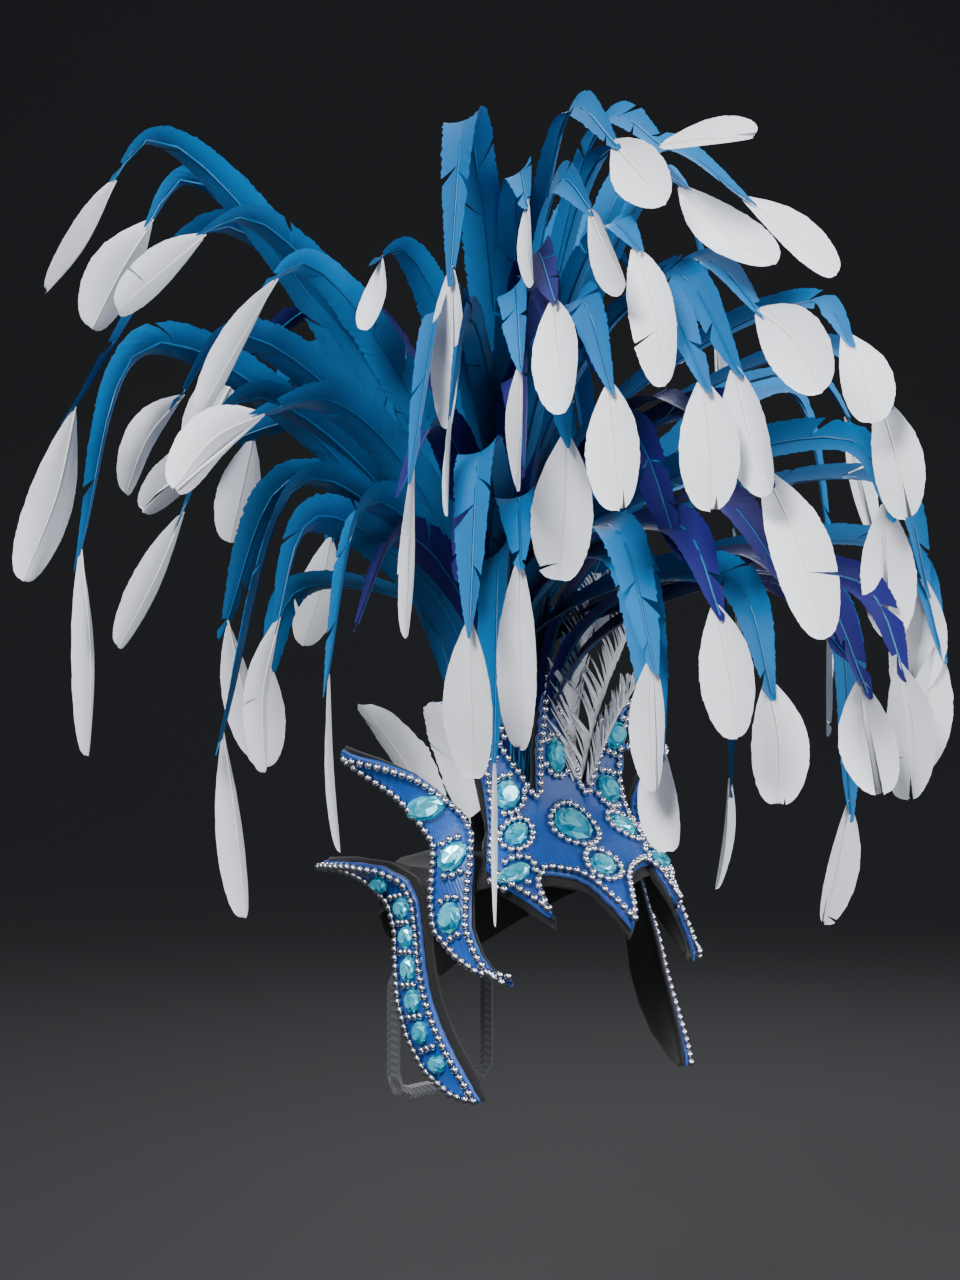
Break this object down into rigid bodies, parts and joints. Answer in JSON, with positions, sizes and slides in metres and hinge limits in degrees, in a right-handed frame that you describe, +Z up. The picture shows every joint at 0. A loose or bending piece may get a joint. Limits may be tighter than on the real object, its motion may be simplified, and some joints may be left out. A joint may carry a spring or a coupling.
{
  "type": "showgirl feather headdress",
  "caption": "Stage headdress: beaded satin crown on a skull cap with jewelled temple strips, a nape loop, and a fountain of arching blue feathers with white leaf tips",
  "frame": {"origin": "middle of the head opening, level with the two arches over the brow", "axes": "+Z up, -Y is the front of the headdress, -X is the wearer's right side"},
  "size_m": [0.5761, 0.5421, 0.6298],
  "materials": {
    "satin": "bright blue satin over felt, padded, with puckers at the glued edge",
    "felt": "black velvet-like felt lining",
    "cap": "black felt skull cap",
    "loop": "dark grey padded cloth loop",
    "beads": "silver-plated round plastic beads",
    "stones": "turquoise faceted acrylic with a foil back",
    "feathers": "dyed blue stripped feathers ending in white goose feathers"
  },
  "bodies": {
    "root": {"skull_cap": "cap", "nape_loop": "loop", "front_lining": "felt", "front_panel": "satin", "front_beads": "beads", "spire_stone": "stones", "crest_stone": "stones", "brow_stone": "stones", "peak_stone_right": "stones", "panel_stone_right": "stones", "round_stone_right": "stones", "hook_stone_right": "stones", "peak_stone_left": "stones", "panel_stone_left": "stones", "round_stone_left": "stones", "hook_stone_left": "stones", "side_lining_right": "felt", "side_panel_right": "satin", "side_beads_right": "beads", "horn_stone_right": "stones", "side_stone_right": "stones", "low_stone_right": "stones", "temple_lining_right": "felt", "temple_strip_right": "satin", "temple_beads_right": "beads", "temple_stone_right_1": "stones", "temple_stone_right_2": "stones", "temple_stone_right_3": "stones", "temple_stone_right_4": "stones", "temple_stone_right_5": "stones", "temple_stone_right_6": "stones", "temple_stone_right_7": "stones", "side_lining_left": "felt", "side_panel_left": "satin", "side_beads_left": "beads", "horn_stone_left": "stones", "side_stone_left": "stones", "low_stone_left": "stones", "temple_lining_left": "felt", "temple_strip_left": "satin", "temple_beads_left": "beads", "temple_stone_left_1": "stones", "temple_stone_left_2": "stones", "temple_stone_left_3": "stones", "temple_stone_left_4": "stones", "temple_stone_left_5": "stones", "temple_stone_left_6": "stones", "temple_stone_left_7": "stones", "spray_front_right": "feathers", "spray_side_right": "feathers", "spray_back_right": "feathers", "spray_back_left": "feathers", "spray_side_left": "feathers", "spray_front_left": "feathers"}
  },
  "joints": []
}
